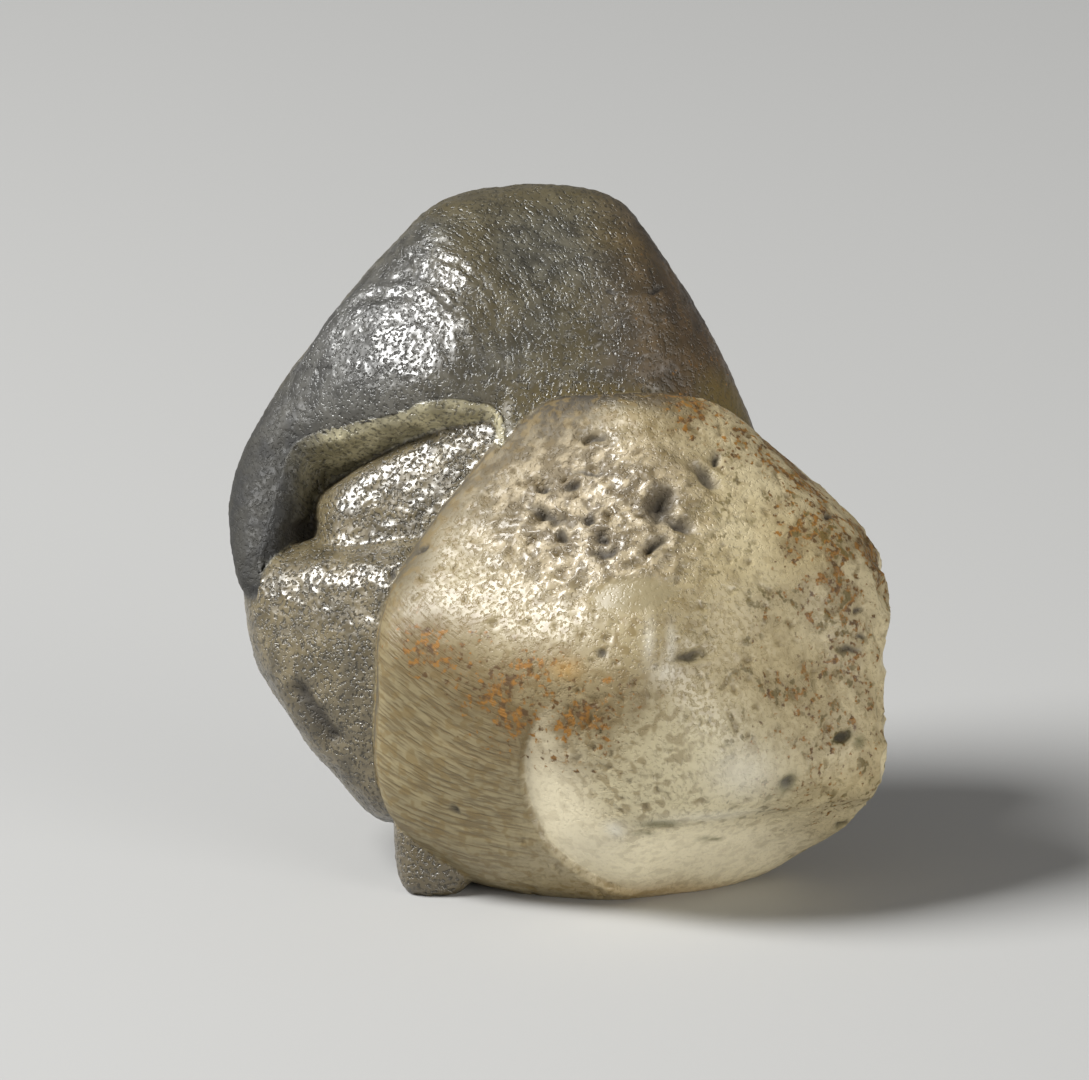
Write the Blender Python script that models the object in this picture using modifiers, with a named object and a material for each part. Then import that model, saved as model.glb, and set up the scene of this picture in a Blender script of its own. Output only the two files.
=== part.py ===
"""A phenakite specimen about 12 mm wide: crystals that grew together as one piece.

A smoky crystal stands at the back, a straw-coloured one in front of it, and a middle crystal, a
lobe and a small foot fill the angle between them at the lower left. The group is one solid and
rests on a small flat spot.

Each crystal is a sphere drawn in to a rounded block of flat faces. A face is given by where it
looks and how far it lies from the crystal's centre, in the sight frame: the frame of somebody who
looks along +Y from 15 degrees above the level. Sizes are in millimetres until the last step.
"""

import math

import bmesh
import bpy
import numpy as np
from mathutils import Matrix, Vector, noise

MM = 0.001

SIGHT_PITCH = math.radians(15.0)
ACROSS = np.array([1.0, 0.0, 0.0])
UPWARD = np.array([0.0, math.sin(SIGHT_PITCH), math.cos(SIGHT_PITCH)])
NEARER = np.array([0.0, -math.cos(SIGHT_PITCH), math.sin(SIGHT_PITCH)])

# Moves the finished group so that its box is centred over the origin.
STAND_SHIFT = np.array([0.05, -1.38, 0.0])

# Centres are (across, upward, nearer). A face is (turn, lean, distance): turn is the clock angle
# round the line of sight, 0 to the right and 90 up, and lean is 0 edge on, 90 facing the viewer.
# The larger a crystal's EDGES, the sharper its edges are.
SMOKY_CENTRE = (-1.1, 8.4, 0.0)
SMOKY_EDGES = 14
SMOKY_FACES = (
    (155, 0, 4.1),
    (138, 5, 3.48),
    (97, 8, 3.9),
    (33, 5, 4.0),
    (12, 0, 4.6),
    (190, 0, 5.35),
    (230, 5, 5.8),
    (150, 48, 2.05),
    (80, 45, 2.45),
    (60, 75, 1.6),
    (20, 45, 2.9),
    (270, 35, 4.6),
    (290, 60, 3.0),
    (60, -45, 4.5),
    (150, -50, 4.0),
    (0, -80, 4.2),
    (240, -40, 4.8),
    (320, -40, 4.8),
    (270, -10, 5.4),
)

# Cut out of the smoky crystal before the others are joined to it: its roof is the ledge.
NOTCH_CENTRE = (-2.55, 6.15, 2.4)
NOTCH_EDGES = 24
NOTCH_FACES = (
    (85, -28, 2.5),
    (175, -38, 3.42),
    (330, -50, 1.3),
    (230, 0, 3.6),
    (270, 0, 3.6),
    (0, 0, 1.4),
    (0, 90, 3.0),
)

MIDDLE_CENTRE = (-1.2, 4.9, -1.6)
MIDDLE_EDGES = 18
MIDDLE_FACES = (
    (119, 0, 3.42),
    (178, 15, 3.55),
    (225, 28, 2.95),
    (158, 68, 3.3),
    (20, 20, 4.2),
    (72, 15, 4.5),
    (300, 20, 3.6),
    (0, -80, 3.0),
    (190, -35, 3.4),
    (90, -45, 3.6),
    (325, -35, 3.6),
    (270, -15, 4.8),
    (250, -50, 3.4),
)

LOBE_CENTRE = (-3.6, 4.1, -0.4)
LOBE_EDGES = 10
LOBE_FACES = (
    (183, 0, 2.05),
    (212, 0, 1.8),
    (222, 0, 1.87),
    (105, 20, 2.2),
    (165, 58, 2.05),
    (230, 55, 2.15),
    (290, 0, 3.1),
    (0, 30, 2.2),
    (0, -20, 2.4),
    (200, -45, 2.1),
    (0, -90, 2.4),
)

STRAW_CENTRE = (1.2, 4.15, 2.1)
STRAW_EDGES = 18
STRAW_FACES = (
    (356, 0, 4.8),
    (305, 0, 5.0),
    (270, -15, 4.85),
    (225, 0, 5.2),
    (180, 0, 4.55),
    (144, 0, 4.15),
    (92, 0, 4.7),
    (46, 0, 4.55),
    (46, 30, 3.95),
    (125, 52, 2.5),
    (60, 55, 2.7),
    (5, 58, 2.7),
    (228, 52, 2.8),
    (176, 64, 2.8),
    (285, 65, 3.0),
    (290, 27, 3.5),
    (258, 26, 3.85),
    (80, 75, 2.75),
    (270, 85, 3.0),
    (90, -55, 3.4),
    (270, -60, 4.6),
    (0, -50, 4.0),
    (180, -60, 4.0),
)

FOOT_CENTRE = (-2.35, 0.75, 0.6)
FOOT_EDGES = 3
FOOT_FACES = (
    (180, 0, 0.65),
    (0, 0, 0.85),
    (270, -15, 1.0),
    (90, 0, 1.8),
    (0, 90, 0.75),
    (0, -90, 0.9),
)

# Broad lumps all over, as (distance between lumps, height).
LUMPS = ((2.6, 0.10), (1.1, 0.055))

# Pits in the faces that look to the viewer, as (across, upward, radius, depth).
PITS = (
    (1.80, 6.80, 0.34, 0.26),
    (-0.27, 6.62, 0.26, 0.14),
    (1.75, 6.09, 0.24, 0.14),
    (0.80, 6.05, 0.26, 0.12),
    (2.65, 7.35, 0.26, 0.14),
    (2.28, 4.09, 0.24, 0.14),
    (5.02, 2.65, 0.22, 0.14),
    (4.02, 1.86, 0.24, 0.12),
    (-4.69, 6.34, 0.32, 0.26),
)

# The open slit in the lobe: its two ends as (across, upward), its width and its depth.
SLIT_ENDS = ((-4.77, 3.41), (-4.13, 2.59))
SLIT_WIDTH = 0.16
SLIT_DEPTH = 0.16

# The curved step at the lower left of the straw crystal: the face inside the circle lies lower.
STEP_CENTRE = (1.45, 1.95)
STEP_RADIUS = 2.2
STEP_DEPTH = 0.16
STEP_TURN = math.radians(215.0)
STEP_RUN_OUT = 1.3

# The swelling of the smoky crystal's left face, ended on its right by a soft fold.
SWELLING_CENTRE = (-3.6, 9.6)
SWELLING_RADIUS = 1.6
SWELLING_HEIGHT = 0.26

# Chips along the right rim of the straw crystal: where the rim starts, their spacing and depth.
RIM_ACROSS = 3.6
CHIP_SPACING = 0.55
CHIP_DEPTH = 0.16

# How the surface is meshed.
SPHERE_DIVISIONS = 6
VOXEL = 0.13
SMOOTH_FACTOR = 0.5
SMOOTH_REPEAT = 4
TRIANGLES = 9400

STONE_COLOUR = (0.46, 0.42, 0.27, 1.0)
STONE_ROUGHNESS = 0.35
STONE_TRANSMISSION = 0.5
PHENAKITE_IOR = 1.66


def clear_scene():
    for obj in list(bpy.data.objects):
        bpy.data.objects.remove(obj, do_unlink=True)


def in_sight(place):
    """The point that a place, given as (across, upward, nearer), stands for."""
    across, upward, nearer = place
    return across * ACROSS + upward * UPWARD + nearer * NEARER


def face_normal(turn, lean):
    turn, lean = math.radians(turn), math.radians(lean)
    flat = math.cos(turn) * ACROSS + math.sin(turn) * UPWARD
    return math.cos(lean) * flat + math.sin(lean) * NEARER


def reach(directions, faces, edges):
    """How far the rounded block of these faces runs from its centre, in each direction."""
    total = np.zeros(len(directions))
    for turn, lean, distance in faces:
        towards = directions @ face_normal(turn, lean) / distance
        total += np.maximum(towards, 0.0) ** edges
    return total ** (-1.0 / edges)


def points_of(mesh):
    points = np.empty(len(mesh.vertices) * 3)
    mesh.vertices.foreach_get("co", points)
    return points.reshape(-1, 3)


def crystal(name, centre, faces, edges, collection):
    shape = bmesh.new()
    bmesh.ops.create_icosphere(shape, subdivisions=SPHERE_DIVISIONS, radius=1.0)
    mesh = bpy.data.meshes.new(name)
    shape.to_mesh(mesh)
    shape.free()
    directions = points_of(mesh)
    directions /= np.linalg.norm(directions, axis=1, keepdims=True)
    points = in_sight(centre) + directions * reach(directions, faces, edges)[:, None]
    mesh.vertices.foreach_set("co", points.ravel())
    obj = bpy.data.objects.new(name, mesh)
    collection.objects.link(obj)
    return obj


def apply_modifiers(obj):
    graph = bpy.context.evaluated_depsgraph_get()
    mesh = bpy.data.meshes.new_from_object(obj.evaluated_get(graph))
    obj.modifiers.clear()
    obj.data = mesh


def combine(body, others, operation):
    """Boolean the others into the body, then remove them."""
    for other in others:
        boolean = body.modifiers.new(f"{operation.lower()} {other.name}", "BOOLEAN")
        boolean.operation = operation
        boolean.solver = "EXACT"
        boolean.object = other
    apply_modifiers(body)
    for other in others:
        bpy.data.objects.remove(other, do_unlink=True)


def even_out(body):
    remesh = body.modifiers.new("even mesh", "REMESH")
    remesh.mode = "VOXEL"
    remesh.voxel_size = VOXEL
    smooth = body.modifiers.new("smooth", "SMOOTH")
    smooth.factor = SMOOTH_FACTOR
    smooth.iterations = SMOOTH_REPEAT
    apply_modifiers(body)


def smooth_step(low, high, value):
    part = np.clip((value - low) / (high - low), 0.0, 1.0)
    return part * part * (3.0 - 2.0 * part)


def lumps(points, spacing, height):
    return np.array([noise.noise(Vector(point) / spacing) for point in points]) * height


def pit(across, upward, place, radius, depth):
    distance = np.hypot(across - place[0], upward - place[1])
    return -depth * np.exp(-((distance / radius) ** 3))


def slit(across, upward):
    start, end = np.array(SLIT_ENDS)
    along = end - start
    offset = np.stack([across, upward], axis=1) - start
    share = np.clip(offset @ along / (along @ along), 0.0, 1.0)
    distance = np.linalg.norm(offset - share[:, None] * along, axis=1)
    return -SLIT_DEPTH * np.exp(-((distance / SLIT_WIDTH) ** 2))


def curved_step(across, upward):
    right, up = across - STEP_CENTRE[0], upward - STEP_CENTRE[1]
    inside = STEP_RADIUS - np.hypot(right, up)
    facing = (right * math.cos(STEP_TURN) + up * math.sin(STEP_TURN)) / STEP_RADIUS
    run_out = np.exp(-np.maximum(inside, 0.0) / STEP_RUN_OUT)
    return -STEP_DEPTH * smooth_step(0.0, 0.2, inside) * run_out * smooth_step(0.2, 0.7, facing)


def swelling(across, upward):
    distance = np.hypot(across - SWELLING_CENTRE[0], upward - SWELLING_CENTRE[1])
    return SWELLING_HEIGHT * (1.0 - smooth_step(0.3, 1.0, distance / SWELLING_RADIUS))


def chips(points, normals):
    """Small scallops where the surface turns away from the viewer at the right."""
    turned = smooth_step(0.75, 0.95, normals @ ACROSS)
    rim = turned * smooth_step(RIM_ACROSS, RIM_ACROSS + 1.0, points @ ACROSS)
    return -rim * np.abs(lumps(points, CHIP_SPACING, CHIP_DEPTH))


def carve(body):
    """Move the surface along its normals: lumps all over, and the marks that the front shows."""
    points = points_of(body.data)
    normals = np.empty(len(points) * 3)
    body.data.vertices.foreach_get("normal", normals)
    normals = normals.reshape(-1, 3)
    across, upward = points @ ACROSS, points @ UPWARD
    sunk = slit(across, upward) + curved_step(across, upward)
    for *place, radius, depth in PITS:
        sunk += pit(across, upward, place, radius, depth)
    facing = normals @ NEARER
    rise = sum(lumps(points, spacing, height) for spacing, height in LUMPS)
    rise += sunk * smooth_step(0.05, 0.3, facing) + chips(points, normals)
    rise += swelling(across, upward) * smooth_step(0.15, 0.6, facing)
    points = points + normals * rise[:, None] + STAND_SHIFT
    body.data.vertices.foreach_set("co", points.ravel())


def thin_out(body):
    body.data.calc_loop_triangles()
    decimate = body.modifiers.new("fewer triangles", "DECIMATE")
    decimate.ratio = TRIANGLES / len(body.data.loop_triangles)
    apply_modifiers(body)


def stand_on_flat(body):
    """Cut level at z = 0, which leaves the small flat spot that the group rests on."""
    shape = bmesh.new()
    shape.from_mesh(body.data)
    cut = bmesh.ops.bisect_plane(
        shape,
        geom=shape.verts[:] + shape.edges[:] + shape.faces[:],
        dist=1e-4,
        plane_co=(0, 0, 0),
        plane_no=(0, 0, -1),
        clear_outer=True,
    )
    rim = [part for part in cut["geom_cut"] if isinstance(part, bmesh.types.BMEdge)]
    bmesh.ops.triangle_fill(shape, edges=rim, use_beauty=True)
    bmesh.ops.recalc_face_normals(shape, faces=shape.faces[:])
    shape.to_mesh(body.data)
    shape.free()


def stone():
    material = bpy.data.materials.new("phenakite")
    material.use_nodes = True
    shader = material.node_tree.nodes["Principled BSDF"]
    shader.inputs["Base Color"].default_value = STONE_COLOUR
    shader.inputs["Roughness"].default_value = STONE_ROUGHNESS
    shader.inputs["Metallic"].default_value = 0.0
    shader.inputs["Transmission Weight"].default_value = STONE_TRANSMISSION
    shader.inputs["IOR"].default_value = PHENAKITE_IOR
    return material


def main():
    clear_scene()
    group = bpy.data.collections.new("phenakite_crystal")
    bpy.context.scene.collection.children.link(group)
    body = crystal("phenakite_crystal", SMOKY_CENTRE, SMOKY_FACES, SMOKY_EDGES, group)
    notch = crystal("notch", NOTCH_CENTRE, NOTCH_FACES, NOTCH_EDGES, group)
    combine(body, [notch], "DIFFERENCE")
    grown_on = [
        crystal("middle", MIDDLE_CENTRE, MIDDLE_FACES, MIDDLE_EDGES, group),
        crystal("lobe", LOBE_CENTRE, LOBE_FACES, LOBE_EDGES, group),
        crystal("straw", STRAW_CENTRE, STRAW_FACES, STRAW_EDGES, group),
        crystal("foot", FOOT_CENTRE, FOOT_FACES, FOOT_EDGES, group),
    ]
    combine(body, grown_on, "UNION")
    even_out(body)
    carve(body)
    thin_out(body)
    stand_on_flat(body)
    body.data.transform(Matrix.Scale(MM, 4))
    body.data.shade_smooth()
    body.data.materials.append(stone())


main()
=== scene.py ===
"""The look of a rough phenakite group: a smoky crystal behind, a straw-coloured one in front.

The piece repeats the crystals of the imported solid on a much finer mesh, with the hammered faces,
pits, growth steps and striations that the solid leaves out, and stands for that solid. Shapes are
made in millimetres and scaled to metres at the end.
"""

import itertools
import math

import bmesh
import bpy
import numpy as np
from mathutils import Matrix, Vector, noise


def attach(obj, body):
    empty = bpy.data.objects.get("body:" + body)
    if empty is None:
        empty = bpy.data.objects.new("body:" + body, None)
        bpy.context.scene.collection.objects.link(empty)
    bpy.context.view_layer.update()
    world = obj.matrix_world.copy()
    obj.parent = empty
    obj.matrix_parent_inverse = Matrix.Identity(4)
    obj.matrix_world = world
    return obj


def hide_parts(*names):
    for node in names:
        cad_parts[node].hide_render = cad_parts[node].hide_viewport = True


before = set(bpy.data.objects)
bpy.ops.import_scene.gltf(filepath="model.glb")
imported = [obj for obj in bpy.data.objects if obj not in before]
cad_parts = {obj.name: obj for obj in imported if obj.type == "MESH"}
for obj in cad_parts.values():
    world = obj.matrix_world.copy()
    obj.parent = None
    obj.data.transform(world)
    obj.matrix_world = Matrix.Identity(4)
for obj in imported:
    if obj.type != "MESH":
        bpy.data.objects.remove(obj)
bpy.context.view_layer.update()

MM = 0.001

# The sight frame is that of somebody who looks along +Y from this many degrees above the level.
SIGHT_ELEVATION = 15.0
SIGHT_PITCH = math.radians(SIGHT_ELEVATION)
ACROSS = np.array([1.0, 0.0, 0.0])
UPWARD = np.array([0.0, math.sin(SIGHT_PITCH), math.cos(SIGHT_PITCH)])
NEARER = np.array([0.0, -math.cos(SIGHT_PITCH), math.sin(SIGHT_PITCH)])

# Moves the crystals so that the origin is under the middle of their outline box.
STAND_SHIFT = np.array([0.05, -1.38, 0.0])

# The photograph's frame: its size in pixels, the size of a pixel, and the pixel column and row
# where across and upward are nought.
PHOTO_WIDTH = 1089
PHOTO_HEIGHT = 1080
PIXEL = 0.0183
COLUMN_ZERO = 560.5
ROW_ZERO = 893.0 - 0.3 / PIXEL


def at(column, row):
    """The across and upward of a pixel of the photograph."""
    return (column - COLUMN_ZERO) * PIXEL, (ROW_ZERO - row) * PIXEL


# A crystal is its centre (across, upward, nearer), the sharpness of its edges, and its faces as
# (turn, lean, distance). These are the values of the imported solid.
SMOKY = (
    (-1.1, 8.4, 0.0),
    14,
    (
        (155, 0, 4.1),
        (138, 5, 3.48),
        (97, 8, 3.9),
        (33, 5, 4.0),
        (12, 0, 4.6),
        (190, 0, 5.35),
        (230, 5, 5.8),
        (150, 48, 2.05),
        (80, 45, 2.45),
        (60, 75, 1.6),
        (20, 45, 2.9),
        (270, 35, 4.6),
        (290, 60, 3.0),
        (60, -45, 4.5),
        (150, -50, 4.0),
        (0, -80, 4.2),
        (240, -40, 4.8),
        (320, -40, 4.8),
        (270, -10, 5.4),
    ),
)
NOTCH = (
    (-2.55, 6.15, 2.4),
    24,
    (
        (85, -28, 2.5),
        (175, -38, 3.42),
        (330, -50, 1.3),
        (230, 0, 3.6),
        (270, 0, 3.6),
        (0, 0, 1.4),
        (0, 90, 3.0),
    ),
)
MIDDLE = (
    (-1.2, 4.9, -1.6),
    18,
    (
        (119, 0, 3.42),
        (178, 15, 3.55),
        (225, 28, 2.95),
        (158, 68, 3.3),
        (20, 20, 4.2),
        (72, 15, 4.5),
        (300, 20, 3.6),
        (0, -80, 3.0),
        (190, -35, 3.4),
        (90, -45, 3.6),
        (325, -35, 3.6),
        (270, -15, 4.8),
        (250, -50, 3.4),
    ),
)
LOBE = (
    (-3.6, 4.1, -0.4),
    10,
    (
        (183, 0, 2.05),
        (212, 0, 1.8),
        (222, 0, 1.87),
        (105, 20, 2.2),
        (165, 58, 2.05),
        (230, 55, 2.15),
        (290, 0, 3.1),
        (0, 30, 2.2),
        (0, -20, 2.4),
        (200, -45, 2.1),
        (0, -90, 2.4),
    ),
)
STRAW = (
    (1.2, 4.15, 2.1),
    18,
    (
        (356, 0, 4.8),
        (305, 0, 5.0),
        (270, -15, 4.85),
        (225, 0, 5.2),
        (180, 0, 4.55),
        (144, 0, 4.15),
        (92, 0, 4.7),
        (46, 0, 4.55),
        (46, 30, 3.95),
        (125, 52, 2.5),
        (60, 55, 2.7),
        (5, 58, 2.7),
        (228, 52, 2.8),
        (176, 64, 2.8),
        (285, 65, 3.0),
        (290, 27, 3.5),
        (258, 26, 3.85),
        (80, 75, 2.75),
        (270, 85, 3.0),
        (90, -55, 3.4),
        (270, -60, 4.6),
        (0, -50, 4.0),
        (180, -60, 4.0),
    ),
)
FOOT = (
    (-2.35, 0.75, 0.6),
    3,
    (
        (180, 0, 0.65),
        (0, 0, 0.85),
        (270, -15, 1.0),
        (90, 0, 1.8),
        (0, 90, 0.75),
        (0, -90, 0.9),
    ),
)

# Low lumps of all the faces, as (spacing, height).
LUMPS = ((2.6, 0.10), (1.1, 0.055))

# Pits and gouges, as (column, row, half length, half width, tilt, depth): the sizes are in pixels
# of the photograph, the tilt in degrees and the depth in millimetres.
PITS = (
    (659, 505, 18, 13, 60, 0.30),
    (676, 524, 16, 6, -20, 0.16),
    (546, 515, 24, 6, -25, 0.15),
    (605, 554, 14, 5, 12, 0.13),
    (653, 544, 13, 6, 32, 0.15),
    (602, 540, 7, 6, 0, 0.13),
    (590, 521, 8, 5, -10, 0.12),
    (563, 536, 7, 6, 20, 0.10),
    (703, 478, 16, 6, -42, 0.15),
    (713, 461, 8, 5, 60, 0.12),
    (597, 440, 12, 4, 5, 0.08),
    (588, 475, 16, 3, -8, 0.07),
    (545, 490, 8, 4, 0, 0.08),
    (572, 488, 9, 3, 5, 0.07),
    (685, 653, 16, 5, 12, 0.12),
    (838, 733, 9, 5, 22, 0.12),
    (781, 777, 7, 6, 40, 0.10),
    (838, 822, 7, 5, 30, 0.12),
    (824, 518, 5, 4, 0, 0.08),
    (854, 608, 4, 3, 0, 0.06),
    (855, 635, 4, 3, 0, 0.06),
    (844, 647, 9, 3, 0, 0.05),
    (653, 294, 9, 3, 25, 0.06),
    (610, 297, 7, 3, -5, 0.05),
    (304, 530, 15, 10, 25, 0.10),
    (425, 551, 8, 3, 30, 0.07),
    (396, 576, 7, 3, 60, 0.07),
    (600, 650, 5, 4, 0, 0.05),
    (458, 805, 5, 3, -50, 0.05),
)

# The outlines of the pits are ragged: a ripple (spacing, seed) moves them by so many millimetres.
PIT_RAGGED = 0.06
PIT_RIPPLE_ACROSS = (0.2, 11)
PIT_RIPPLE_UPWARD = (0.2, 12)
PIT_POWER = 3.0

# Olive flecks inside the crystal, as (column, row, half length, half width, tilt).
INCLUSIONS = (
    (657, 815, 20, 5, 0),
    (643, 826, 11, 2, -10),
    (708, 834, 13, 2, -8),
    (781, 777, 12, 7, 50),
    (838, 733, 10, 5, 22),
    (853, 738, 5, 7, -30),
    (838, 822, 7, 5, 30),
)

# Painted highlights: glints and the glow of light through the crystal, as (strength, column, row,
# half length, half width, tilt).
PAINTED_GLINTS = (
    (0.8, 737, 768, 34, 24, 0),
    (1.2, 614, 822, 9, 7, 0),
    (0.7, 710, 806, 50, 6, 4),
    (0.8, 646, 638, 20, 5, 88),
    (0.8, 668, 640, 20, 4, 92),
    (0.6, 662, 668, 16, 8, 0),
)

# Patches of the front with a look of their own, as (column, row, half length, half width, tilt,
# power). The higher the power, the sharper the edge.
FLAT_PATCH = (632, 594, 46, 18, 4, 9.0)
# The cream facet: a pale colour of its own, lightened further as a painted glow of light through
# the crystal.
CREAM_PATCH = (705, 850, 125, 38, 3, 4.0)
PANE_PATCH = (730, 408, 44, 26, -40, 4.0)
PITTED_PATCH = (590, 515, 115, 90, 0, 4.0)
LOWER_LEFT_PATCH = (430, 745, 100, 175, 28, 4.0)
LOWER_RIGHT_PATCH = (690, 770, 120, 75, 0, 4.0)
OLIVE_PATCH = (640, 388, 130, 30, 0, 4.0)
GREY_PATCH = (360, 350, 120, 100, 45, 3.0)
OCHRE_SPOT = (565, 665, 14, 9, 0)
OCHRE_LINE = (700, 887, 110, 8, 0)

# Rust on the straw crystal, as a strength and a patch, and the strength of the other rust.
RUST_PATCHES = (
    (1.15, 545, 702, 108, 60, -10, 3.0),
    (0.95, 440, 648, 66, 38, -15, 3.0),
    (1.0, 820, 560, 115, 50, -53, 3.0),
    (0.75, 815, 690, 100, 150, 0, 4.0),
)
RIM_RUST = 1.15
SMOKY_RUST = 0.35

# The pixel columns, or rows, between which a zone comes in.
TOP_ZONE_LEFT = (535, 560)
TOP_ZONE_RIGHT = (710, 660)
RIM_RUST_COLUMNS = (620, 690)
RIGHT_COLUMNS = (640, 760)
BROWN_COLUMNS = (560, 690)
LOWER_EDGE_COLUMNS = (575, 640)
LEFT_FLANK_COLUMNS = (340, 285)
LEFT_FLANK_ROWS = (340, 460)

# The middle of the growth rings on the two large crystals, as (column, row), and the radius in
# millimetres by which the way round them is measured.
SMOKY_RINGS = (392, 372)
SMOKY_RINGS_RADIUS = 2.2
STRAW_RINGS = (591, 455)
STRAW_RINGS_RADIUS = 5.0

# The edge over the lower front face: its across values and the upward value at each.
BOTTOM_EDGE = (
    [at(column, 0)[0] for column in (600, 650, 720, 800, 850)],
    [at(0, row)[1] for row in (838, 812, 803, 799, 790)],
)

# The upper edge of the straw crystal, in the same way.
TOP_EDGE = (
    [at(column, 0)[0] for column in (544, 560, 600, 640, 700, 770, 840, 884)],
    [at(0, row)[1] for row in (420, 400, 388, 388, 400, 450, 510, 570)],
)

# The upper edge slants, so this share of the height under it is the distance from it. The grey
# zone and the rust reach this far down from it, in millimetres.
TOP_SLANT = 0.8
TOP_ZONE_WIDTH = 0.34
RIM_RUST_WIDTH = 0.75

# The slit in the lobe, as the (across, upward) of its ends.
SLIT_ENDS = ((-4.77, 3.41), (-4.13, 2.59))
SLIT_WIDTH = 0.16
SLIT_DEPTH = 0.16

# The curved step low on the straw crystal: an arc, deepest at its middle, which lies at the turn.
STEP_CENTRE = (1.45, 1.95)
STEP_RADIUS = 2.2
STEP_DEPTH = 0.12
STEP_TURN = math.radians(215.0)
STEP_RUN_OUT = 1.3
STEP_SOFT = 0.07
STEP_SHARE = (0.4, 0.85)

# The glassy face inside the step, whose pale colour is partly its own and partly a painted glow.
GLASSY_EDGE = (0.03, 0.10)
GLASSY_WIDTH = 1.4
GLASSY_SHARE = (0.1, 0.6)

# The round swelling high on the left of the smoky crystal.
SWELLING_CENTRE = (-3.6, 9.6)
SWELLING_RADIUS = 1.6
SWELLING_HEIGHT = 0.26
SWELLING_SPAN = (0.3, 1.0)

# The right rim is chipped where the surface lies this far across and turns this far to the right.
RIM_ACROSS = 3.6
RIM_WIDTH = 1.0
RIM_TURN = (0.55, 0.9)
CHIP_SPACING = 0.8
CHIP_DEPTH = 0.38

# How much a surface faces the viewer, where a zone comes in.
FRONT_FACING = (0.05, 0.3)
SEEN_FACING = (-0.1, 0.1)
SWELLING_FACING = (0.15, 0.6)
LEFT_FLANK_FACING = (-0.5, 0.2)

# How far one unit of a gauge reaches, in millimetres: for the crystals, and by the notch's lip.
CRYSTAL_REACH = 4.5
NOTCH_REACH = 2.6
SMOKY_REACH = 3.5

# Widths along the seam where the straw crystal meets the others, and where its flank ends.
SEAM = 0.05
CREASE_WIDTH = 0.30
FLANK_WIDTH = 1.15
FLANK_ACROSS = (1.2, 0.2)

# The notch: the gauge of the smoky crystal at which its colour comes in, the softened lip, and the
# ripple of its walls.
NOTCH_GAUGE = (0.975, 0.92)
LIP_WIDTH = 0.32
LIP_DEPTH = 0.20
NOTCH_SPACING = 0.4
NOTCH_RIPPLE = 0.05
NOTCH_SEED = 61

# How strong the hammered relief is, against 1 on the smoky crystal, and the share of it that
# smoother places take away.
WEDGE_ROUGH = 1.1
STRAW_ROUGH = 0.55
NOTCH_ROUGH = 0.4
TOP_ZONE_ROUGH = 0.5
SMOOTH_CALM = 0.85
LOWER_LEFT_CALM = 0.4
FLANK_CALM = 0.3
SCATTERED_CALM = 0.8

# How smooth the flat patch is, and the other clear places.
FLAT_SMOOTH = 0.85
CLEAR_SMOOTH = 0.8

# Shares in the colour masks, and the most that a mask of roughness or rust can be.
PITTED_SHARE = 0.6
AROUND_SHARE = 0.3
OCHRE_LINE_SHARE = 0.6
MASK_LIMIT = 1.2

# Ripples, as (spacing in millimetres, seed), with their heights. Of the little pits, only what
# lies over the span is sunk.
COARSE, COARSE_HEIGHT = (0.42, 21), 0.016
MEDIUM, MEDIUM_HEIGHT = (0.21, 22), 0.013
FINE, FINE_HEIGHT = (0.13, 23), 0.011
RUGGED, RUGGED_HEIGHT = (0.50, 31), 0.055
RAGGED, RAGGED_HEIGHT = (0.27, 32), 0.050
POCKS, POCK_DEPTH, POCK_SPAN = (0.24, 33), 0.07, (0.38, 0.7)
SCATTERED, SCATTERED_DEPTH, SCATTERED_SPAN = (0.2, 34), 0.04, (0.42, 0.75)
WAVER, WAVER_WIDTH = (0.9, 41), 0.12
COARSE_WAVER_WIDTH = 0.10

# The low edge over the lower front face, and how far it runs out above and below itself.
EDGE_HEIGHT = 0.11
EDGE_ABOVE = 0.7
EDGE_BELOW = 0.25

# Growth steps and striations: their size across the rings, along them and into the depth, their
# heights, and the distances from the middle of the rings where they begin and end.
GROWTH_SIZE, GROWTH_SEED = (0.20, 1.8, 1.8), 52
GROWTH_HEIGHT = 0.045
GROWTH_BEGIN = (0.9, 1.3)
GROWTH_END = (3.6, 2.6)
GROWTH_UP = (-0.5, 0.3)
STREAK_SIZE, STREAK_SEED = (0.12, 0.9, 0.9), 51
STREAK_BEGIN = (0.5, 1.0)
SMOKY_STREAK_HEIGHT = 0.008
STRAW_STREAK_HEIGHT = 0.015

# The mesh: an even one of this voxel size, thinned out once it has its relief.
SPHERE_DIVISIONS = 7
VOXEL = 0.047
SMOOTH_FACTOR = 0.5
SMOOTH_REPEAT = 6
TRIANGLES = 194000
FLAT_TOLERANCE = 1e-4

# Colours are given as in a picture, 0 to 255. A layer is a mask and the colour that it shows, or
# a mask, the noise that mixes two colours, and those two.
SMOKY_DARK = (60, 57, 47)
SMOKY_PALE = (92, 88, 74)
SMOKY_TINT = (90, 79, 46)
SMOKY_SUNKEN = (36, 34, 27)
SMOKY_LAYERS = (
    ("grey", "medium", (58, 57, 54), (86, 85, 81)),
    ("brown", "medium", (48, 34, 16), (80, 60, 34)),
    ("wedge", "medium", (88, 78, 54), (118, 106, 78)),
    # the walls of the notch: an olive painted much lighter, as painted light in the shaded valley
    ("notch", "medium", (146, 138, 108), (186, 177, 142)),
    # painted shade: the left flank is darkened where it turns away from the light
    ("shaded_left_flank", "medium", (16, 14, 9), (36, 33, 23)),
    ("olive", (98, 84, 40)),
    ("foot", (90, 79, 54)),
)
STRAW_PALE = (182, 166, 126)
STRAW_DARK = (164, 147, 106)
STRAW_HOLLOW = (130, 106, 50)
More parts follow.
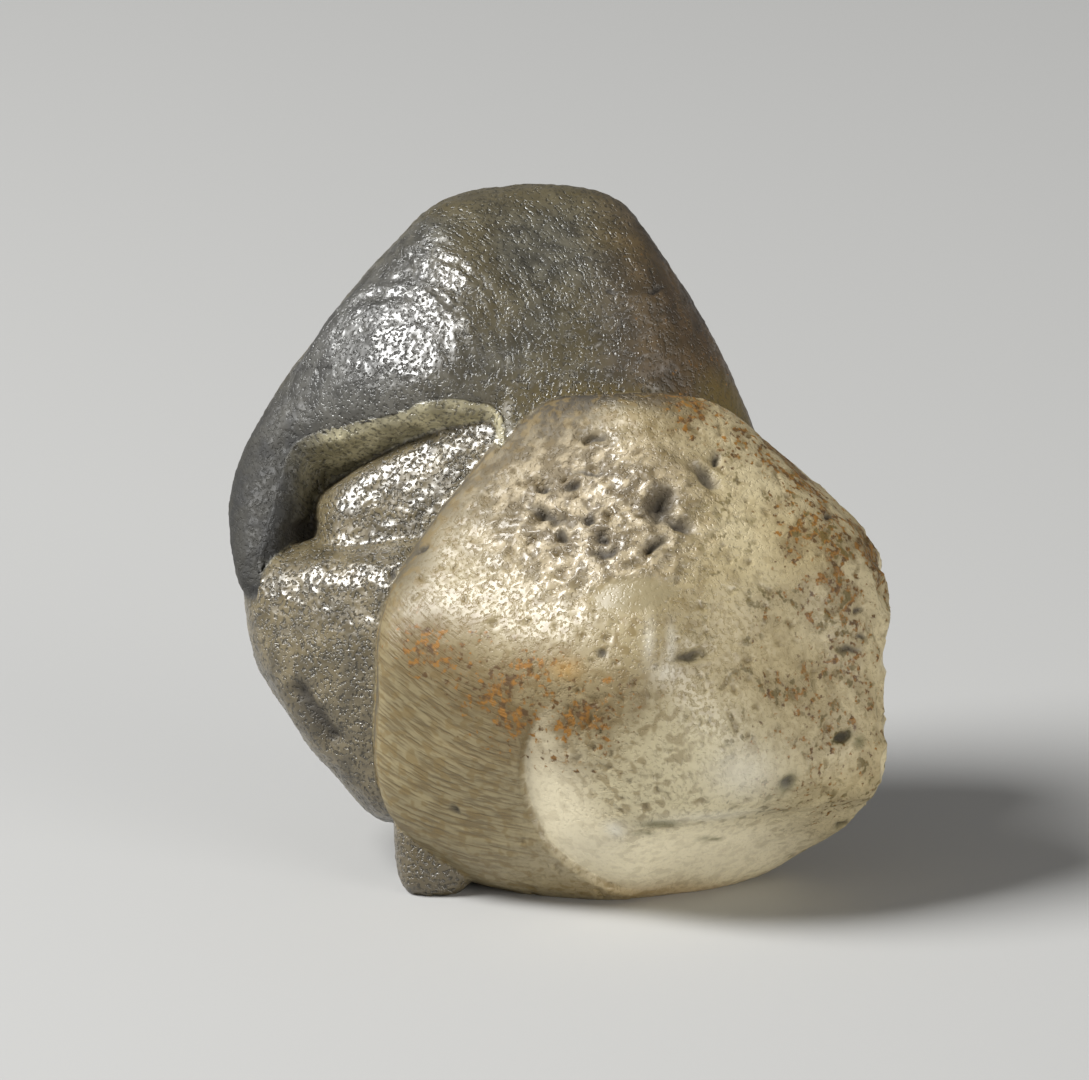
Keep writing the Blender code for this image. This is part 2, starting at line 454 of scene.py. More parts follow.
STRAW_LAYERS = (
    ("right", "broad", (238, 223, 180), (218, 200, 152)),
    ("lower_right", (226, 214, 174)),
    # painted shade: the flank by the seam is darkened where it turns away from the light
    ("flank", (70, 63, 48)),
    ("striated", "fine", (122, 106, 68), (160, 145, 105)),
    ("grey_top", "medium", (42, 35, 24), (72, 63, 47)),
    ("flat", (154, 141, 108)),
    # the glassy face: its own pale colour, lightened further as a painted glow of light through the
    # crystal
    ("glassy_and_glow", (252, 240, 206)),
    # the cream facet: its own pale colour, lightened further as a painted glow
    ("cream_and_glow", (254, 243, 210)),
)
PITTED_LAYER = ("pitted", "blotch", (128, 112, 82), (198, 181, 148))
RUST_BASE = (108, 84, 30)
RUST_DARK = (92, 62, 0)
RUST_BRIGHT = (158, 106, 10)
OLIVE_SPOT = (100, 84, 18)

# What lies on top of all, as (mask, strength, colour).
TOP_COLOURS = (
    ("inclusion", 0.9, (88, 82, 14)),
    ("ochre", 0.6, (198, 152, 72)),
    ("pock", 0.55, (110, 88, 34)),
    ("dark", 0.85, (52, 47, 40)),
    # painted glow: a painted highlight where light passes through the crystal
    ("painted_glow", 0.75, (246, 240, 220)),
)

# The crystal as a material. Smooth places are less clear and less rough, matt ones rougher.
IOR = 1.66
SMOKY_CLEAR = 0.10
STRAW_CLEAR = 0.28
SMOOTH_CLEAR = -0.14
SMOKY_ROUGHNESS = 0.36
STRAW_ROUGHNESS = 0.46
SMOOTH_ROUGHNESS = -0.10
MATT_ROUGHNESS = 0.42
COAT = 0.3
MATT_COAT = 0.02
COAT_ROUGHNESS = 0.20
RUST_MATT = 0.7
LEFT_FLANK_MATT = 0.9
BUMP_HEIGHT = 0.05 * MM

# Grains to the millimetre across the growth rings and along them.
GRAIN_ACROSS_RINGS = 20.0
GRAIN_ALONG_RINGS = 2.4

ABSORPTION_COLOUR = (0.74, 0.66, 0.42, 1.0)
ABSORPTION_DENSITY = 260.0

# The camera, the height that the lights point at, the floor and the surroundings.
CAMERA_SENSOR = 36.0
CAMERA_LENS = 400.0
LIT_HEIGHT = 6 * MM
FLOOR_HALF = 1.5
FLOOR_GREY = (176, 176, 175)
FLOOR_ROUGHNESS = 0.8
WORLD_GREY = (0.83, 0.83, 0.83, 1.0)
WORLD_STRENGTH = 0.21


def in_sight(place):
    across, upward, nearer = place
    return across * ACROSS + upward * UPWARD + nearer * NEARER


def face_normal(turn, lean):
    turn, lean = math.radians(turn), math.radians(lean)
    flat = math.cos(turn) * ACROSS + math.sin(turn) * UPWARD
    return math.cos(lean) * flat + math.sin(lean) * NEARER


def gauge(points, shape):
    """1 on the crystal's surface, less inside and more outside, in step with the distance."""
    centre, edges, faces = shape
    offset = points - in_sight(centre)
    total = np.zeros(len(points))
    for turn, lean, distance in faces:
        towards = offset @ face_normal(turn, lean) / distance
        total += np.maximum(towards, 0.0) ** edges
    return total ** (1.0 / edges)


def points_of(mesh):
    points = np.empty(len(mesh.vertices) * 3)
    mesh.vertices.foreach_get("co", points)
    return points.reshape(-1, 3)


def normals_of(mesh):
    normals = np.empty(len(mesh.vertices) * 3)
    mesh.vertices.foreach_get("normal", normals)
    return normals.reshape(-1, 3)


def crystal(name, shape):
    made = bmesh.new()
    bmesh.ops.create_icosphere(made, subdivisions=SPHERE_DIVISIONS, radius=1.0)
    mesh = bpy.data.meshes.new(name)
    made.to_mesh(mesh)
    made.free()
    directions = points_of(mesh)
    directions /= np.linalg.norm(directions, axis=1, keepdims=True)
    centre = in_sight(shape[0])
    points = centre + directions / gauge(centre + directions, shape)[:, None]
    mesh.vertices.foreach_set("co", points.ravel())
    obj = bpy.data.objects.new(name, mesh)
    bpy.context.scene.collection.objects.link(obj)
    return obj


def apply_modifiers(obj):
    graph = bpy.context.evaluated_depsgraph_get()
    mesh = bpy.data.meshes.new_from_object(obj.evaluated_get(graph))
    obj.modifiers.clear()
    obj.data = mesh


def roughen(obj, spacing, height, seed):
    points = points_of(obj.data)
    points += normals_of(obj.data) * (height * ripple(points, spacing, seed))[:, None]
    obj.data.vertices.foreach_set("co", points.ravel())


def combine(body, others, operation):
    for other in others:
        boolean = body.modifiers.new(f"{operation.lower()} {other.name}", "BOOLEAN")
        boolean.operation = operation
        boolean.solver = "EXACT"
        boolean.object = other
    apply_modifiers(body)
    for other in others:
        bpy.data.objects.remove(other, do_unlink=True)


def even_out(body):
    remesh = body.modifiers.new("even mesh", "REMESH")
    remesh.mode = "VOXEL"
    remesh.voxel_size = VOXEL
    smooth = body.modifiers.new("smooth", "SMOOTH")
    smooth.factor = SMOOTH_FACTOR
    smooth.iterations = SMOOTH_REPEAT
    apply_modifiers(body)


def smooth_step(low, high, value):
    part = np.clip((value - low) / (high - low), 0.0, 1.0)
    return part * part * (3.0 - 2.0 * part)


def bell(value, width, power=2):
    """1 at nought and 0 well past the width."""
    return np.exp(-((value / width) ** power))


def crests(noise_values):
    """Noise between about -1 and 1 as sharp crests: 1 where it is nought."""
    return 1.0 - 2.0 * np.abs(noise_values)


def lumps(points, spacing, height):
    return np.array([noise.noise(Vector(point) / spacing) for point in points]) * height


def ripple(points, spacing, seed):
    """Smooth noise between about -1 and 1. The spacing may differ along the three axes."""
    draw = np.random.default_rng(seed)
    order = np.tile(draw.permutation(256), 2)
    slopes = draw.normal(size=(256, 3))
    slopes /= np.linalg.norm(slopes, axis=1, keepdims=True)
    grid = points / spacing
    corner = np.floor(grid).astype(int)
    part = grid - corner
    blend = part**3 * (part * (part * 6.0 - 15.0) + 10.0)
    total = np.zeros(len(points))
    for step in itertools.product((0, 1), repeat=3):
        place = (corner + step) & 255
        pick = order[order[order[place[:, 0]] + place[:, 1]] + place[:, 2]]
        drop = ((part - step) * slopes[pick]).sum(axis=1)
        total += np.where(step, blend, 1.0 - blend).prod(axis=1) * drop
    return total * 1.7


class Surface:
    """The fine mesh before its relief, and what is known about each of its points."""

    def __init__(self, mesh):
        self.points = points_of(mesh)
        self.normals = normals_of(mesh)
        self.across = self.points @ ACROSS
        self.upward = self.points @ UPWARD
        self.depth = self.points @ NEARER
        self.facing = self.normals @ NEARER
        self.front = smooth_step(*FRONT_FACING, self.facing)
        self.find_crystals()
        self.find_zones()
        self.find_pits()
        self.ring, self.way_round, self.up_share = self.growth_lines()
        self.around = self.smoky * self.front * smooth_step(*STREAK_BEGIN, self.ring)
        self.coarse = ripple(self.points, *COARSE)

    def find_crystals(self):
        """The crystal that each point lies on, as masks from 0 to 1."""
        shapes = (SMOKY, NOTCH, MIDDLE, LOBE, STRAW, FOOT)
        smoky, notch, middle, lobe, straw, foot = (gauge(self.points, shape) for shape in shapes)
        cut_smoky = np.maximum(smoky, 1.0 / notch)
        beside_straw = np.minimum.reduce([cut_smoky, middle, lobe, foot])
        beside_smoky = np.minimum.reduce([middle, lobe, straw, foot])
        beside_foot = np.minimum.reduce([cut_smoky, middle, straw])
        self.into_straw = (beside_straw - straw) * CRYSTAL_REACH
        into_smoky = (beside_smoky - cut_smoky) * CRYSTAL_REACH
        self.straw = smooth_step(-SEAM, SEAM, self.into_straw)
        self.smoky = smooth_step(-SEAM, SEAM, into_smoky)
        self.foot = smooth_step(-SEAM, SEAM, beside_foot - foot)
        self.wedge = (1.0 - self.straw) * (1.0 - self.smoky)
        # the notch's walls, whose colour is lightened as painted light
        self.notch = self.smoky * smooth_step(*NOTCH_GAUGE, smoky)
        self.off_lip = np.hypot((notch - 1.0) * NOTCH_REACH, (1.0 - smoky) * SMOKY_REACH)

    def find_zones(self):
        """The parts of the faces with a look of their own, as masks from 0 to 1."""
        self.flat_spot = self.spot(*FLAT_PATCH)
        in_step, step_share = self.inside_step()
        # the glassy face, whose colour also carries a painted glow
        self.glassy_and_glow = self.straw * self.front * smooth_step(*GLASSY_EDGE, in_step)
        self.glassy_and_glow *= bell(in_step, GLASSY_WIDTH, 4)
        self.glassy_and_glow *= smooth_step(*GLASSY_SHARE, step_share)
        # the cream facet, whose colour is partly its own and partly a painted glow
        self.cream_and_glow = self.straw * self.spot(*CREAM_PATCH)
        self.pane = (1.0 - self.straw) * self.spot(*PANE_PATCH)
        clear = CLEAR_SMOOTH * np.maximum.reduce([self.glassy_and_glow, self.cream_and_glow, self.pane])
        self.smooth = np.maximum(FLAT_SMOOTH * self.flat_spot, clear)
        self.pitted = self.straw * self.spot(*PITTED_PATCH) * (1.0 - self.flat_spot)
        self.lower_left = self.straw * self.spot(*LOWER_LEFT_PATCH) * (1.0 - self.glassy_and_glow)
        # the flank by the seam, which the colour darkens as painted shade
        self.flank = self.straw * bell(self.into_straw, FLANK_WIDTH)
        self.flank *= smooth_step(*FLANK_ACROSS, self.across)
        under = np.interp(self.across, *TOP_EDGE) - self.upward
        self.under_top = TOP_SLANT * np.maximum(under, 0.0)
        self.seen = self.straw * smooth_step(*SEEN_FACING, self.facing)
        self.top_zone = self.seen * bell(self.under_top, TOP_ZONE_WIDTH, 4)
        self.top_zone *= self.columns(*TOP_ZONE_LEFT)
        self.top_zone *= self.columns(*TOP_ZONE_RIGHT)
        rough = self.smoky + WEDGE_ROUGH * self.wedge + STRAW_ROUGH * self.straw
        rough += NOTCH_ROUGH * self.notch + TOP_ZONE_ROUGH * self.top_zone
        rough *= 1.0 - SMOOTH_CALM * self.smooth
        rough *= (1.0 - LOWER_LEFT_CALM * self.lower_left) * (1.0 - FLANK_CALM * self.flank)
        self.rough = rough

    def find_pits(self):
        """How deep each point lies in the single pits, in millimetres, and masks of the pits."""
        across, upward = self.across, self.upward
        self.across = across + PIT_RAGGED * ripple(self.points, *PIT_RIPPLE_ACROSS)
        self.upward = upward + PIT_RAGGED * ripple(self.points, *PIT_RIPPLE_UPWARD)
        self.pit_depth = np.zeros(len(across))
        self.in_pit = np.zeros(len(across))
        for column, row, length, width, tilt, deep in PITS:
            spot = self.spot(column, row, length, width, tilt, PIT_POWER)
            self.pit_depth += spot * deep
            self.in_pit = np.maximum(self.in_pit, spot)
        self.across, self.upward = across, upward
        self.pocks = smooth_step(*POCK_SPAN, ripple(self.points, *POCKS))
        self.scattered = smooth_step(*SCATTERED_SPAN, ripple(self.points, *SCATTERED))
        self.scattered *= self.straw * (1.0 - self.smooth)
        self.scattered *= (1.0 - self.pitted) * (1.0 - SCATTERED_CALM * self.lower_left)

    def spot(self, column, row, length, width, tilt, power=2.0):
        """1 at a place of the front and 0 well away from it: an ellipse in pixels, tilted."""
        across, upward = at(column, row)
        right, up = (self.across - across) / PIXEL, (self.upward - upward) / PIXEL
        turn = math.radians(tilt)
        along = (right * math.cos(turn) + up * math.sin(turn)) / length
        beside = (up * math.cos(turn) - right * math.sin(turn)) / width
        return np.exp(-(np.hypot(along, beside) ** power)) * self.front

    def columns(self, start, end):
        """0 before the first pixel column and 1 past the second one."""
        return smooth_step(at(start, 0)[0], at(end, 0)[0], self.across)

    def rows(self, start, end):
        """0 before the first pixel row and 1 past the second one."""
        return smooth_step(at(0, start)[1], at(0, end)[1], self.upward)

    def slit(self):
        start, end = np.array(SLIT_ENDS)
        along = end - start
        offset = np.stack([self.across, self.upward], axis=1) - start
        share = np.clip(offset @ along / (along @ along), 0.0, 1.0)
        distance = np.linalg.norm(offset - share[:, None] * along, axis=1)
        return bell(distance, SLIT_WIDTH)

    def inside_step(self):
        """How far each point is inside the arc of the step, and 1 where it lies at its middle."""
        right, up = self.across - STEP_CENTRE[0], self.upward - STEP_CENTRE[1]
        inside = STEP_RADIUS - np.hypot(right, up)
        return inside, (right * math.cos(STEP_TURN) + up * math.sin(STEP_TURN)) / STEP_RADIUS

    def curved_step(self):
        inside, share = self.inside_step()
        run_out = np.exp(-np.maximum(inside, 0.0) / STEP_RUN_OUT)
        deep = -STEP_DEPTH * smooth_step(0.0, STEP_SOFT, inside)
        return deep * run_out * smooth_step(*STEP_SHARE, share)

    def swelling(self):
        distance = np.hypot(self.across - SWELLING_CENTRE[0], self.upward - SWELLING_CENTRE[1])
        return SWELLING_HEIGHT * (1.0 - smooth_step(*SWELLING_SPAN, distance / SWELLING_RADIUS))

    def chips(self):
        turned = smooth_step(*RIM_TURN, self.normals @ ACROSS)
        rim = turned * smooth_step(RIM_ACROSS, RIM_ACROSS + RIM_WIDTH, self.across)
        return -rim * np.abs(lumps(self.points, CHIP_SPACING, CHIP_DEPTH))

    def growth_lines(self):
        """The distance from the middle of the growth rings, the way round them, and the height.

        The first two are in millimetres, and the last is 1 straight above the middle, -1 under it.
        The rings of the smoky crystal lie round its swelling, those of the straw crystal round the
        pitted face.
        """
        of_straw = self.straw > 0.5
        column = np.where(of_straw, STRAW_RINGS[0], SMOKY_RINGS[0])
        row = np.where(of_straw, STRAW_RINGS[1], SMOKY_RINGS[1])
        radius = np.where(of_straw, STRAW_RINGS_RADIUS, SMOKY_RINGS_RADIUS)
        across, upward = at(column, row)
        right, up = self.across - across, self.upward - upward
        ring = np.hypot(right, up)
        return ring, np.arctan2(up, right) * radius, up / np.maximum(ring, 0.1)

    def hammered(self):
        heights = COARSE_HEIGHT * self.coarse
        heights += MEDIUM_HEIGHT * crests(ripple(self.points, *MEDIUM))
        return self.rough * (heights + FINE_HEIGHT * ripple(self.points, *FINE))

    def pitted_face(self):
        """The upper left face of the straw crystal, which is rugged and full of little pits."""
        heights = RUGGED_HEIGHT * crests(ripple(self.points, *RUGGED))
        heights += RAGGED_HEIGHT * crests(ripple(self.points, *RAGGED))
        return self.pitted * (heights - POCK_DEPTH * self.pocks)

    def lower_edge(self):
        """The edge at which the lower front face of the straw crystal starts."""
        above = self.upward - np.interp(self.across, *BOTTOM_EDGE)
        run_out = np.where(above > 0.0, EDGE_ABOVE, EDGE_BELOW)
        profile = np.exp(-np.abs(above) / run_out)
        return EDGE_HEIGHT * self.straw * self.front * profile * self.columns(*LOWER_EDGE_COLUMNS)

    def along_rings(self, distance, size, seed):
        """Noise drawn out along the growth rings."""
        across_rings, along, deep = size
        place = [distance / across_rings, self.way_round / along, self.depth / deep]
        return ripple(np.stack(place, axis=1), 1.0, seed)

    def growth_steps(self):
        """Low steps round the swelling of the smoky crystal."""
        wavy = self.ring + COARSE_WAVER_WIDTH * self.coarse
        wavy += WAVER_WIDTH * ripple(self.points, *WAVER)
        growth = self.smoky * self.front * smooth_step(*GROWTH_BEGIN, wavy)
        growth *= smooth_step(*GROWTH_END, wavy)
        growth *= smooth_step(*GROWTH_UP, self.up_share)
        return growth * GROWTH_HEIGHT * self.along_rings(wavy, GROWTH_SIZE, GROWTH_SEED)

    def striations(self):
        """Fine streaks along the rings, strongest on the lower left face of the straw crystal."""
        streaks = crests(self.along_rings(self.ring, STREAK_SIZE, STREAK_SEED))
        return (SMOKY_STREAK_HEIGHT * self.around + STRAW_STREAK_HEIGHT * self.lower_left) * streaks

    def relief(self):
        """How far each point rises along its normal, in millimetres."""
        rise = sum(lumps(self.points, spacing, height) for spacing, height in LUMPS)
        rise += self.chips() + self.swelling() * smooth_step(*SWELLING_FACING, self.facing)
        rise += self.front * (self.curved_step() - SLIT_DEPTH * self.slit())
        rise -= self.pit_depth
        rise += self.hammered()
        rise += self.pitted_face()
        rise -= SCATTERED_DEPTH * self.scattered
        rise += self.lower_edge()
        lip = self.smoky * bell(self.off_lip, LIP_WIDTH)
        rise -= LIP_DEPTH * lip
        rise += self.growth_steps()
        return rise + self.striations()

    def rust(self):
        rim = self.seen * bell(self.under_top, RIM_RUST_WIDTH) * self.columns(*RIM_RUST_COLUMNS)
        rusts = [strength * self.straw * self.spot(*patch) for strength, *patch in RUST_PATCHES]
        rusts += [RIM_RUST * rim, SMOKY_RUST * self.smoky * self.columns(*BROWN_COLUMNS)]
        return np.clip(np.maximum.reduce(rusts), 0.0, MASK_LIMIT)

    def colour_masks(self):
        """What the material knows of each point: masks from 0 to 1, and its place on the rings."""
        crease = bell(self.into_straw, CREASE_WIDTH)
        band = (1.0 - self.straw) * crease * self.spot(*OLIVE_PATCH)
        flecks = [self.spot(*fleck, power=PIT_POWER) for fleck in INCLUSIONS]
        # painted highlights: glints and the glow of light through the crystal
        painted_glints = [strength * self.spot(*glint) for strength, *glint in PAINTED_GLINTS]
        ochre = np.maximum(self.spot(*OCHRE_SPOT), OCHRE_LINE_SHARE * self.spot(*OCHRE_LINE))
        # painted shade on the left flank, which turns away from the light
        shaded_left_flank = self.smoky * self.columns(*LEFT_FLANK_COLUMNS)
        shaded_left_flank *= self.rows(*LEFT_FLANK_ROWS) * smooth_step(*LEFT_FLANK_FACING, self.facing)
        return {
            "straw": self.straw,
            "wedge": self.wedge,
            "foot": self.foot * (1.0 - self.straw),
            "rough": np.clip(self.rough + PITTED_SHARE * self.pitted, 0.0, MASK_LIMIT),
            "smooth": self.smooth,
            "pitted": self.pitted,
            "striated": self.lower_left,
            "flow": np.clip(AROUND_SHARE * self.around + self.lower_left, 0.0, 1.0),
            "ring": self.ring,
            "way_round": self.way_round,
            "dark": np.maximum(self.in_pit, self.front * self.slit()),
            "pock": np.clip(self.pitted * self.pocks + self.scattered, 0.0, 1.0),
            "notch": self.notch,
            "olive": np.clip(band + self.pane, 0.0, 1.0),
            "flank": self.flank,
            "brown": self.smoky * self.columns(*BROWN_COLUMNS),
            "grey": self.smoky * self.spot(*GREY_PATCH),
            "shaded_left_flank": shaded_left_flank,
            "glassy_and_glow": self.glassy_and_glow,
            "flat": self.flat_spot,
            "grey_top": self.top_zone,
            "cream_and_glow": self.cream_and_glow,
            "rust": self.rust(),
            "ochre": self.straw * ochre,
            "right": self.straw * self.columns(*RIGHT_COLUMNS),
            "lower_right": self.straw * self.spot(*LOWER_RIGHT_PATCH),
            "inclusion": np.maximum.reduce(flecks),
            "painted_glow": np.maximum.reduce(painted_glints),
        }


def add_masks(mesh, masks):
    for name, values in masks.items():
        layer = mesh.attributes.new(name, "FLOAT", "POINT")
        layer.data.foreach_set("value", values.astype(np.float32))


def thin_out(body):
    body.data.calc_loop_triangles()
    decimate = body.modifiers.new("fewer triangles", "DECIMATE")
    decimate.ratio = TRIANGLES / len(body.data.loop_triangles)
    apply_modifiers(body)


def stand_on_flat(body):
    shape = bmesh.new()
    shape.from_mesh(body.data)
    cut = bmesh.ops.bisect_plane(
        shape,
        geom=shape.verts[:] + shape.edges[:] + shape.faces[:],
        dist=FLAT_TOLERANCE,
        plane_co=(0, 0, 0),
        plane_no=(0, 0, -1),
        clear_outer=True,
    )
    rim = [part for part in cut["geom_cut"] if isinstance(part, bmesh.types.BMEdge)]
    bmesh.ops.triangle_fill(shape, edges=rim, use_beauty=True)
    bmesh.ops.recalc_face_normals(shape, faces=shape.faces[:])
    shape.to_mesh(body.data)
    shape.free()


def make_stone():
    body = crystal("phenakite_stone", SMOKY)
    notch = crystal("notch", NOTCH)
    roughen(notch, NOTCH_SPACING, NOTCH_RIPPLE, NOTCH_SEED)
    combine(body, [notch], "DIFFERENCE")
    grown_on = [
        crystal("middle", MIDDLE),
        crystal("lobe", LOBE),
        crystal("straw", STRAW),
        crystal("foot", FOOT),
    ]
    combine(body, grown_on, "UNION")
    even_out(body)
    surface = Surface(body.data)
    points = surface.points + surface.normals * surface.relief()[:, None] + STAND_SHIFT
    body.data.vertices.foreach_set("co", points.ravel())
    add_masks(body.data, surface.colour_masks())
    thin_out(body)
    stand_on_flat(body)
    body.data.transform(Matrix.Scale(MM, 4))
    body.data.shade_smooth()
    return body


class Tree:
    """A material's nodes, built with few words."""

    def __init__(self, material):
        material.use_nodes = True
        self.nodes = material.node_tree.nodes
        self.links = material.node_tree.links
        self.place = self.nodes.new("ShaderNodeTexCoord").outputs["Object"]

    def put(self, socket, value):
        if isinstance(value, bpy.types.NodeSocket):
            self.links.new(value, socket)
        else:
            socket.default_value = value

    def mask(self, name):
        node = self.nodes.new("ShaderNodeAttribute")
        node.attribute_name = name
        return node.outputs["Fac"]

    def math(self, operation, *values, clamp=False):
        node = self.nodes.new("ShaderNodeMath")
        node.operation = operation
        node.use_clamp = clamp
        for socket, value in zip(node.inputs, values):
            self.put(socket, value)
        return node.outputs[0]

    def times(self, first, second):
        return self.math("MULTIPLY", first, second)

    def most(self, first, second):
        return self.math("MAXIMUM", first, second)

    def line(self, value, slope, start):
        """The value times the slope, plus the start."""
        return self.math("MULTIPLY_ADD", value, slope, start)

    def mix(self, share, first, second):
        node = self.nodes.new("ShaderNodeMix")
        node.data_type = "RGBA"
        self.put(node.inputs["Factor"], share)
        self.put(node.inputs["A"], first)
        self.put(node.inputs["B"], second)
        return node.outputs["Result"]

    def mix_value(self, share, first, second):
        node = self.nodes.new("ShaderNodeMix")
        self.put(node.inputs["Factor"], share)
        self.put(node.inputs["A"], first)
        self.put(node.inputs["B"], second)
        return node.outputs["Result"]

    def layer(self, colour, noises, name, *over):
        """A colour with another one over it where the mask of that name is 1."""
        if len(over) == 1:
            top = srgb(*over[0])
        else:
            noise_name, first, second = over
            top = self.mix(noises[noise_name], srgb(*first), srgb(*second))
        return self.mix(self.mask(name), colour, top)

    def grain(self, per_mm, detail, shift=0.0, kind="FBM"):
        """Noise between 0 and 1, of so many lumps to the millimetre."""
        mapping = self.nodes.new("ShaderNodeMapping")
        self.put(mapping.inputs["Vector"], self.place)
        mapping.inputs["Location"].default_value = (shift, shift, shift)
        mapping.inputs["Scale"].default_value = [per_mm / MM] * 3
        return self.noise(mapping.outputs[0], detail, kind)

    def noise(self, place, detail, kind="FBM"):
        node = self.nodes.new("ShaderNodeTexNoise")
        node.noise_type = kind
        self.put(node.inputs["Vector"], place)
        node.inputs["Scale"].default_value = 1.0
        node.inputs["Detail"].default_value = detail
        return node.outputs[0]

    def span(self, value, low, high):
        """0 where the value is at or under low, 1 at or over high."""
        node = self.nodes.new("ShaderNodeMapRange")
        node.interpolation_type = "SMOOTHSTEP"
        self.put(node.inputs["Value"], value)
        self.put(node.inputs["From Min"], low)
        self.put(node.inputs["From Max"], high)
        return node.outputs[0]


def srgb(red, green, blue):
    """A colour given as in a picture, 0 to 255, as the shader wants it."""
    parts = [part / 255.0 for part in (red, green, blue)]
    return [p / 12.92 if p <= 0.04045 else ((p + 0.055) / 1.055) ** 2.4 for p in parts] + [1.0]


def body_colour(tree, grain):
    """The colour of the two crystals, without stains and specks."""
    broad = tree.span(tree.grain(per_mm=0.45, detail=1.0), 0.38, 0.62)
    medium = tree.span(tree.grain(per_mm=2.2, detail=2.0, shift=7.0), 0.36, 0.64)
    blotch = tree.span(tree.grain(per_mm=3.2, detail=2.0, shift=53.0), 0.42, 0.60)
    cells = tree.span(tree.grain(per_mm=5.0, detail=1.0, shift=13.0), 0.50, 0.36)
    fine = tree.span(grain, 0.38, 0.62)
    sunken = tree.times(tree.span(grain, 0.52, 0.36), 0.6)
    noises = {"broad": broad, "medium": medium, "fine": fine, "blotch": blotch}

    smoky = tree.mix(medium, srgb(*SMOKY_DARK), srgb(*SMOKY_PALE))
    smoky = tree.mix(tree.times(broad, 0.7), smoky, srgb(*SMOKY_TINT))
    for layer in SMOKY_LAYERS:
        smoky = tree.layer(smoky, noises, *layer)
    smoky = tree.mix(sunken, smoky, srgb(*SMOKY_SUNKEN))

    straw = tree.mix(broad, srgb(*STRAW_PALE), srgb(*STRAW_DARK))
    for layer in STRAW_LAYERS:
        straw = tree.layer(straw, noises, *layer)
    hollow = tree.most(cells, tree.times(sunken, 0.7))
    fewer = tree.most(tree.mask("smooth"), tree.times(tree.mask("right"), 0.6))
    hollow = tree.times(hollow, tree.line(fewer, -0.55, 0.6))
    straw = tree.mix(hollow, straw, srgb(*STRAW_HOLLOW))
    straw = tree.layer(straw, noises, *PITTED_LAYER)
    return tree.mix(tree.mask("straw"), smoky, straw)


def stained(tree, colour):
    """The colour with rust in clusters, olive spots, flecks, pits, and painted glints and glow on
    top.
    """
    speck = tree.grain(per_mm=8.5, detail=3.0, shift=3.0)
    second_speck = tree.grain(per_mm=6.0, detail=2.0, shift=19.0)
    clusters = tree.span(tree.grain(per_mm=1.5, detail=1.0, shift=71.0), 0.40, 0.58)
    rust_share = tree.times(tree.mask("rust"), tree.line(clusters, 0.5, 0.55))
    colour = tree.mix(tree.times(rust_share, 0.68), colour, srgb(*RUST_BASE))
    threshold = tree.line(rust_share, -0.24, 0.70)
    spotted = tree.span(speck, threshold, tree.math("ADD", threshold, 0.12))
    rusty = tree.mix(tree.span(second_speck, 0.40, 0.60), srgb(*RUST_DARK), srgb(*RUST_BRIGHT))
    colour = tree.mix(tree.times(spotted, tree.span(rust_share, 0.02, 0.35)), colour, rusty)

    olive_spots = tree.times(tree.span(second_speck, 0.55, 0.64), tree.mask("right"))
    olive_spots = tree.times(olive_spots, clusters)
    olive_spots = tree.times(olive_spots, tree.line(tree.mask("cream_and_glow"), -0.8, 0.85))
    colour = tree.mix(olive_spots, colour, srgb(*OLIVE_SPOT))
    for name, strength, top in TOP_COLOURS:
        colour = tree.mix(tree.times(tree.mask(name), strength), colour, srgb(*top))
    return colour


def fine_grain(tree):
    """Fine grain, which follows the growth rings where the face has them."""
    rings = tree.nodes.new("ShaderNodeCombineXYZ")
    tree.put(rings.inputs[0], tree.times(tree.mask("ring"), GRAIN_ACROSS_RINGS))
    tree.put(rings.inputs[1], tree.times(tree.mask("way_round"), GRAIN_ALONG_RINGS))
    even = tree.grain(per_mm=14.0, detail=2.0, shift=31.0)
    return tree.mix_value(tree.mask("flow"), even, tree.noise(rings.outputs[0], detail=1.0))


def bumps(tree, grain):
    """The relief that is too fine for the mesh, about as deep as its grain is wide."""
    crest = tree.math("ABSOLUTE", tree.math("SUBTRACT", grain, 0.5))
    crumpled = tree.grain(per_mm=5.5, detail=2.0, shift=43.0, kind="RIDGED_MULTIFRACTAL")
    height = tree.line(crest, -1.0, tree.line(crumpled, 0.35, grain))
    height = tree.times(height, tree.line(tree.mask("rough"), 0.85, 0.12))
    bump = tree.nodes.new("ShaderNodeBump")
    bump.inputs["Strength"].default_value = 1.0
    bump.inputs["Distance"].default_value = BUMP_HEIGHT
    tree.put(bump.inputs["Height"], height)
    return bump.outputs[0]


